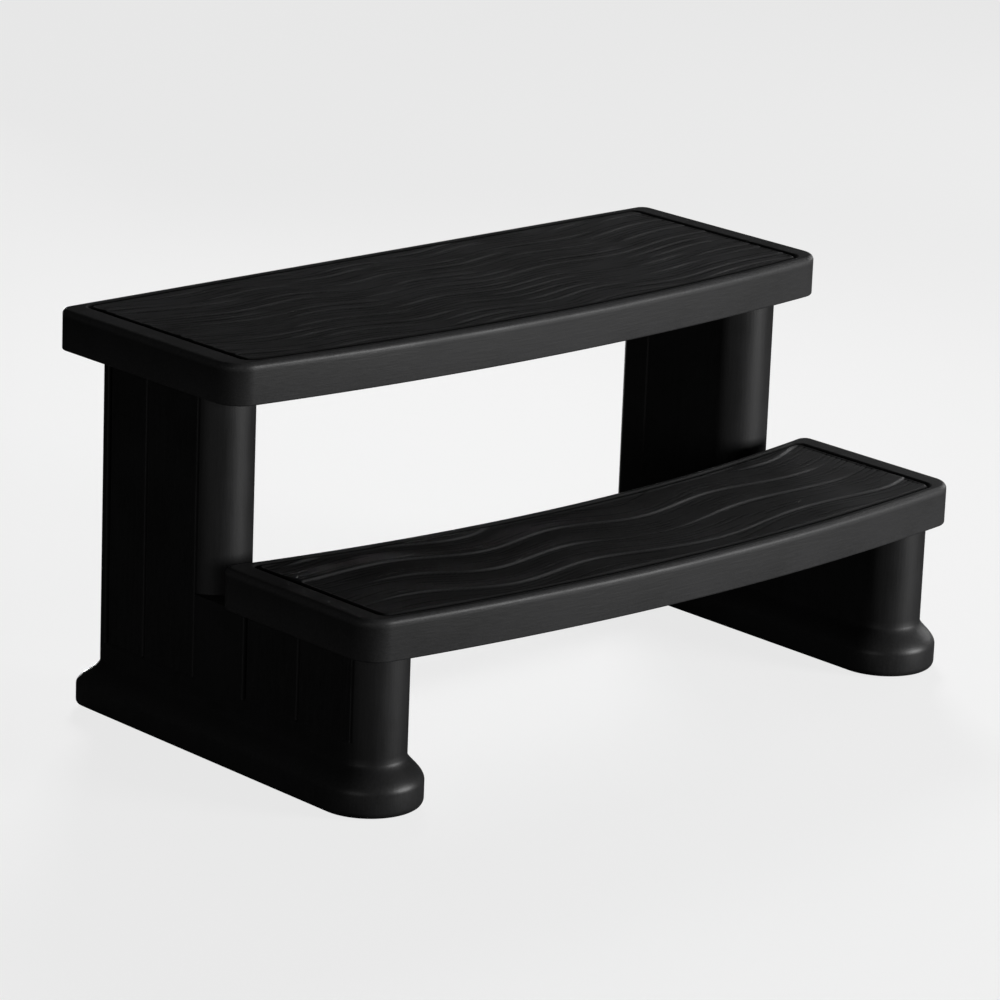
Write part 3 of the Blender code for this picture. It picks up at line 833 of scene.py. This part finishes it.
def field_heights(shape):
    """Heights from the shoulder to the top, closer together at each field's lower and upper edge."""
    stops = [SHOULDER_TOP, shape.tall_top, shape.low_top]
    stops += spread(FIELD_BOTTOM - SILL_MARGIN, FIELD_BOTTOM + SILL_RISE + SILL_MARGIN, SILL_STEP)
    for top in shape.inner_tops:
        stops += spread(top - SILL_RISE - SILL_MARGIN, top + SILL_MARGIN, INNER_TOP_STEP)
    heights = [SHOULDER_TOP]
    for stop in sorted(stops):
        if stop - heights[-1] > RISE_CLOSEST:
            heights += spread(heights[-1], stop, RISE_STEP)[1:]
    return heights


def add_ring(model, shape, samples, offset, z, paling=0.0):
    """A closed loop of vertices round the panel's outline, moved out by an offset."""
    wear_and_highlight = model.verts.layers.float["wear_and_highlight"]
    shade = model.verts.layers.float["shade"]
    ring = []
    for sample in samples:
        point, edge_worn, shaded = shape.place(sample, offset, z)
        vert = model.verts.new(point)
        vert[wear_and_highlight] = max(paling, edge_worn)
        vert[shade] = shaded
        ring.append(vert)
    return ring


def add_spigot(model, shape):
    """The top of the low section that stands inside the lower tread."""
    half = PANEL_HALF - SPIGOT_INSET
    outline = []
    for step in range(COLUMN_STEPS + 1):
        turn = math.pi * (1 + step / COLUMN_STEPS)
        outline.append((half * math.cos(turn), shape.low_y + half * math.sin(turn)))
    outline += [(half, shape.spigot_rear), (-half, shape.spigot_rear)]
    loops = []
    for z in (shape.low_top - OVERLAP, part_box("lower_tread")[1].z - DECK - GAP):
        loop = [model.verts.new((shape.side * (shape.middle_x + x), y, z)) for x, y in outline]
        loops.append(loop)
    join_loops(model, *loops)
    model.faces.new(loops[0])
    model.faces.new(loops[1])


def add_ledges(model, shape):
    """Shelves on the inner wall that the tread screws pass up through."""
    for node in ("upper_tread", "lower_tread"):
        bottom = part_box(node)[1].z - LEDGE_DROP
        wall = PANEL_HALF if node == "upper_tread" else PANEL_HALF - SPIGOT_INSET
        for x, y in screw_places(node):
            if x * shape.side < 0:
                continue
            root = shape.side * (shape.middle_x - wall + LEDGE_SINK)
            xs = sorted((root, x - shape.side * LEDGE_PAST_SCREW))
            low = (xs[0], y - LEDGE_WIDTH / 2, bottom)
            high = (xs[1], y + LEDGE_WIDTH / 2, bottom + LEDGE_THICKNESS)
            add_block(model, low, high, LEDGE_EDGE)


def make_panel(shape, material):
    """One side panel: its base, low section and tall section, then the spigot and the ledges."""
    samples = shape.samples()
    model = bmesh.new()
    model.verts.layers.float.new("wear_and_highlight")
    model.verts.layers.float.new("shade")
    ring = None
    for offset, z in base_profile(shape.bottom):
        above = add_ring(model, shape, samples, offset, z, BASE_WEAR * smooth(offset / FLARE))
        if ring:
            join_loops(model, ring, above)
        else:
            bottom = above
        ring = above
    heights = field_heights(shape)
    for z in [height for height in heights[1:] if height < shape.low_top + RISE_CLOSEST]:
        above = add_ring(model, shape, samples, 0.0, z)
        join_loops(model, ring, above)
        ring = above
    lip = add_ring(model, shape, samples, FLARE - TOE_ROLL - BASE_LIP, shape.bottom)
    hollow = add_ring(model, shape, samples, FLARE - TOE_ROLL - BASE_LIP, BASE_HOLLOW)
    join_loops(model, bottom, lip)
    join_loops(model, lip, hollow)
    model.faces.new(hollow)

    right, left = shape.shared_side(samples)
    arc = shape.column_arc(shape.tall_y, samples[left][1], samples[right][1])
    tall = ring[right : left + 1] + add_ring(model, shape, arc, 0.0, shape.low_top)
    cap = ring[: right + 1] + tall[: left - right : -1] + ring[left:]
    model.faces.new(cap)
    for z in [height for height in heights if height > shape.low_top + RISE_CLOSEST]:
        above = add_ring(model, shape, samples[right : left + 1] + arc, 0.0, z)
        join_loops(model, tall, above)
        tall = above
    model.faces.new(tall)
    add_spigot(model, shape)
    add_ledges(model, shape)
    new_piece(f"{shape.node}_moulding", model, material, shape.node)


def feed(tree, socket, value):
    """Gives a socket a value, or links another node's socket to it."""
    if isinstance(value, bpy.types.NodeSocket):
        tree.links.new(value, socket)
    else:
        socket.default_value = value


def add_node(tree, kind, inputs=None, **settings):
    """A shader node; an input takes a value or another node's socket."""
    node = tree.nodes.new(kind)
    for name, value in settings.items():
        setattr(node, name, value)
    for name, value in (inputs or {}).items():
        feed(tree, node.inputs[name], value)
    return node


def new_material(name):
    material = bpy.data.materials.new(name)
    material.use_nodes = True
    tree = material.node_tree
    return material, tree, tree.nodes["Principled BSDF"]


def noise_at(tree, scale, stretch=(1.0, 1.0, 1.0), detail=3.0, roughness=0.55):
    """Noise of this many waves per metre, times the stretch along each axis."""
    place = add_node(tree, "ShaderNodeTexCoord").outputs["Object"]
    mapping = add_node(tree, "ShaderNodeMapping", {"Vector": place, "Scale": stretch})
    texture = add_node(
        tree,
        "ShaderNodeTexNoise",
        {
            "Vector": mapping.outputs["Vector"],
            "Scale": scale,
            "Detail": detail,
            "Roughness": roughness,
        },
    )
    return texture.outputs["Fac"]


def attribute(tree, name):
    """A number that the mesh holds at each vertex."""
    return add_node(tree, "ShaderNodeAttribute", attribute_name=name).outputs["Fac"]


def remap(tree, value, low, high, to_low, to_high):
    """Maps a range of values to another one, held flat outside."""
    node = add_node(
        tree,
        "ShaderNodeMapRange",
        {"Value": value, "From Min": low, "From Max": high, "To Min": to_low, "To Max": to_high},
    )
    return node.outputs["Result"]


def blend_colours(tree, factor, first, second):
    """The mix node has a set of sockets for each data type, so its colour ones go by number."""
    node = add_node(tree, "ShaderNodeMix", data_type="RGBA")
    for number, value in ((0, factor), (6, first), (7, second)):
        feed(tree, node.inputs[number], value)
    return node.outputs[2]


def maths(tree, operation, first, second):
    node = add_node(tree, "ShaderNodeMath", operation=operation)
    feed(tree, node.inputs[0], first)
    feed(tree, node.inputs[1], second)
    return node.outputs[0]


def bump(tree, height, strength, distance, under=None):
    """A bumped normal, on top of another one if given."""
    inputs = {"Height": height, "Strength": strength, "Distance": distance}
    if under is not None:
        inputs["Normal"] = under
    return add_node(tree, "ShaderNodeBump", inputs).outputs["Normal"]


def grey(value, tint=0.0):
    """A grey that a positive tint turns towards blue, and a negative one towards yellow."""
    return (value, value, value * (1 + tint), 1.0)


def moulded_plastic(name):
    """Black moulded plastic: pebbled skin, drawn-out fibres, cloudy sheen, paler crests and edges (wear,
    and on the crests also a painted highlight), painted shade in grooves and joints.
    """
    look = PLASTICS[name]
    tone = look["tone"]
    roughness = look["roughness"]
    material, tree, shader = new_material(name)
    cloud = noise_at(tree, CLOUD_SCALE, detail=4.0)
    speck = noise_at(tree, SPECK_SCALE, detail=2.0)
    pebble = noise_at(tree, PEBBLE_SCALE, detail=2.0)
    fibre = noise_at(tree, 1.0, look["fibres"], detail=5.0, roughness=0.62)
    wear_and_highlight = attribute(tree, "wear_and_highlight")
    shade = attribute(tree, "shade")

    cloudy = remap(tree, cloud, 0.35, 0.65, 0, 1)
    body = blend_colours(tree, cloudy, grey(tone * 0.82), grey(tone * 1.18, 0.04))
    streak = maths(tree, "MULTIPLY", remap(tree, fibre, 0.42, 0.68, 0, 1), 0.5)
    body = blend_colours(tree, streak, body, grey(tone * FIBRE_TONE, 0.03))
    # Paler worn edges and crests; on the woodgrain crests this is partly a painted highlight
    patchy = maths(tree, "MULTIPLY", wear_and_highlight, remap(tree, speck, 0.3, 0.7, 0.45, 1.0))
    body = blend_colours(tree, patchy, body, grey(tone * WEAR_AND_HIGHLIGHT_TONE, 0.02))
    # Painted shade: grooves, ridge feet and plank joints darkened towards SHADED_TONE
    body = blend_colours(tree, maths(tree, "MULTIPLY", shade, 0.85), body, grey(tone * SHADED_TONE))
    feed(tree, shader.inputs["Base Color"], body)

    rough = remap(tree, cloud, 0.3, 0.7, roughness - 0.05, roughness + 0.06)
    rough = maths(tree, "SUBTRACT", rough, maths(tree, "MULTIPLY", wear_and_highlight, 0.10))
    rough = maths(tree, "ADD", rough, maths(tree, "MULTIPLY", shade, 0.25))
    feed(tree, shader.inputs["Roughness"], rough)
    sheen = remap(tree, shade, 0.0, 1.0, look["specular"], SHADED_SPECULAR)
    feed(tree, shader.inputs["Specular IOR Level"], sheen)

    skin = bump(tree, pebble, 0.55, PEBBLE_DEPTH)
    feed(tree, shader.inputs["Normal"], bump(tree, fibre, 0.8, look["fibre_depth"], skin))
    return material


def zinc_steel():
    """Zinc-plated steel: fine spangle, faint brown passivation and scratches."""
    material, tree, shader = new_material("zinc_plated_steel")
    spangle = remap(tree, noise_at(tree, 900.0, detail=3.0), 0.4, 0.6, 0, 1)
    scratch = noise_at(tree, 1.0, (3000.0, 150.0, 800.0), detail=2.0)
    tone = blend_colours(tree, spangle, (0.50, 0.50, 0.49, 1), (0.66, 0.65, 0.62, 1))
    feed(tree, shader.inputs["Base Color"], tone)
    feed(tree, shader.inputs["Roughness"], remap(tree, scratch, 0.3, 0.7, 0.26, 0.44))
    feed(tree, shader.inputs["Metallic"], 1.0)
    feed(tree, shader.inputs["Normal"], bump(tree, scratch, 0.3, 0.00005))
    return material


def foot_rubber():
    """Dull rubber with a dusty bloom and a gritty surface."""
    material, tree, shader = new_material("foot_rubber")
    bloom = noise_at(tree, 60.0, detail=5.0)
    grit = noise_at(tree, 1800.0, detail=3.0)
    tone = blend_colours(tree, remap(tree, bloom, 0.4, 0.7, 0, 1), grey(0.009), grey(0.022, -0.05))
    feed(tree, shader.inputs["Base Color"], tone)
    feed(tree, shader.inputs["Roughness"], remap(tree, bloom, 0.3, 0.7, 0.78, 0.93))
    feed(tree, shader.inputs["Normal"], bump(tree, grit, 0.6, 0.00015))
    return material


def dress_solids(materials):
    """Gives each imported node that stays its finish, by the record's material slot."""
    for entry in frame["record"]["subparts"]:
        node = frame["nodes"][entry["node"]]
        material = materials.get(entry["material_slot"])
        if material and not node.hide_render:
            for slot in node.material_slots:
                slot.material = material


def seen_and_unseen(tree, seen, unseen):
    """One shader for the camera's own rays and another for the light that falls on the object."""
    camera = add_node(tree, "ShaderNodeLightPath").outputs["Is Camera Ray"]
    mix = tree.nodes.new("ShaderNodeMixShader")
    tree.links.new(camera, mix.inputs[0])
    tree.links.new(unseen, mix.inputs[1])
    tree.links.new(seen, mix.inputs[2])
    return mix.outputs[0]


def make_floor():
    """A wide floor whose own glow hides the horizon from the camera."""
    model = bmesh.new()
    bmesh.ops.create_grid(model, x_segments=1, y_segments=1, size=FLOOR_HALF)
    mesh = bpy.data.meshes.new("studio_floor")
    model.to_mesh(mesh)
    model.free()
    floor = bpy.data.objects.new("studio_floor", mesh)
    bpy.context.scene.collection.objects.link(floor)
    material, tree, shader = new_material("studio_floor")
    tree.nodes.remove(shader)
    glow = add_node(tree, "ShaderNodeEmission", {"Color": grey(FLOOR_GLOW)}).outputs[0]
    matt = add_node(tree, "ShaderNodeBsdfDiffuse", {"Color": grey(FLOOR_TONE)}).outputs[0]
    seen = add_node(tree, "ShaderNodeAddShader")
    tree.links.new(glow, seen.inputs[0])
    tree.links.new(matt, seen.inputs[1])
    unseen = add_node(tree, "ShaderNodeBsdfDiffuse", {"Color": grey(FLOOR_BOUNCE)}).outputs[0]
    output = tree.nodes["Material Output"]
    tree.links.new(seen_and_unseen(tree, seen.outputs[0], unseen), output.inputs["Surface"])
    mesh.materials.append(material)


def make_world():
    world = bpy.data.worlds.new("studio")
    world.use_nodes = True
    tree = world.node_tree
    tree.nodes.clear()
    seen = add_node(tree, "ShaderNodeBackground", {"Color": grey(BACKDROP_TONE), "Strength": 1.0})
    unseen = add_node(tree, "ShaderNodeBackground", {"Color": grey(AMBIENT), "Strength": 1.0})
    output = tree.nodes.new("ShaderNodeOutputWorld")
    shader = seen_and_unseen(tree, seen.outputs[0], unseen.outputs[0])
    tree.links.new(shader, output.inputs["Surface"])
    bpy.context.scene.world = world


def direction(azimuth, elevation):
    """Towards a place this many degrees round from the front and above the floor."""
    turn = math.radians(azimuth)
    rise = math.radians(elevation)
    level = math.cos(rise)
    return Vector((math.sin(turn) * level, -math.cos(turn) * level, math.sin(rise)))


def soft_light(name, centre, azimuth, elevation, distance, size, fan, power, glints):
    """A rectangular lamp that faces the object and fans out by this many degrees.

    Without glints it lights surfaces but shows in no reflection.
    """
    lamp = bpy.data.lights.new(name, "AREA")
    lamp.spread = math.radians(fan)
    lamp.shape = "RECTANGLE"
    lamp.size, lamp.size_y = size
    lamp.energy = power
    light = bpy.data.objects.new(name, lamp)
    light.visible_camera = False
    light.visible_glossy = glints
    bpy.context.scene.collection.objects.link(light)
    away = direction(azimuth, elevation)
    light.location = centre + away * distance
    light.rotation_euler = away.to_track_quat("Z", "Y").to_euler()


def make_camera(centre):
    """Looks from the front left and a little above; the picture leans by CAMERA_ROLL."""
    camera = bpy.data.objects.new("camera", bpy.data.cameras.new("camera"))
    bpy.context.scene.collection.objects.link(camera)
    camera.data.lens = CAMERA_LENS
    camera.data.sensor_width = CAMERA_SENSOR
    camera.data.clip_end = 4 * FLOOR_HALF
    away = direction(CAMERA_AZIMUTH, CAMERA_ELEVATION)
    camera.location = centre + CAMERA_AIM + away * CAMERA_DISTANCE
    turn = away.to_track_quat("Z", "Y").to_matrix().to_4x4()
    roll = Matrix.Rotation(math.radians(CAMERA_ROLL), 4, "Z")
    camera.matrix_world = Matrix.Translation(camera.location) @ turn @ roll
    bpy.context.scene.camera = camera


def main():
    centre = (CAD_BOX[0] + CAD_BOX[1]) / 2
    treads = moulded_plastic("tread_plastic")
    panels = moulded_plastic("panel_plastic")
    braces = moulded_plastic("brace_plastic")
    tread_shapes = [TreadShape(node) for node in ("upper_tread", "lower_tread")]
    panel_shapes = [PanelShape(node) for node in ("left_side_panel", "right_side_panel")]
    for shape in tread_shapes:
        make_tread(shape, treads)
    for shape in panel_shapes:
        make_panel(shape, panels)
    dress_solids(
        {
            "matt_black_plastic": braces,
            "zinc_steel": zinc_steel(),
            "black_rubber": foot_rubber(),
        }
    )
    make_floor()
    make_world()
    for name, *settings in LIGHTS:
        soft_light(name, centre, *settings)
    make_camera(centre)
    bpy.context.scene.view_settings.view_transform = "Standard"


main()
